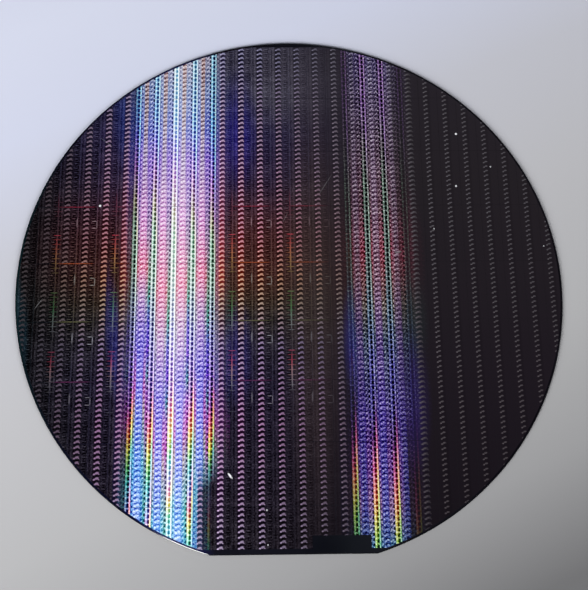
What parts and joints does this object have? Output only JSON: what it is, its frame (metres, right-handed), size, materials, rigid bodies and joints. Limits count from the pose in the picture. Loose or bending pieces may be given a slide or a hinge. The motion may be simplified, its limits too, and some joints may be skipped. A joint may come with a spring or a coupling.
{
  "type": "silicon wafer",
  "caption": "Thin round slice of silicon with a ground edge and one orientation flat, its front covered with columns of narrow circuit chips.",
  "frame": {"origin": "centre of the round outline, on the back face that the wafer lies on", "axes": "+Z out of the patterned front, -Y towards the orientation flat, +X along the flat"},
  "size_m": [0.2, 0.1958, 0.0007],
  "materials": {
    "silicon": "gloss"
  },
  "bodies": {
    "root": {"wafer": "silicon"}
  },
  "joints": []
}
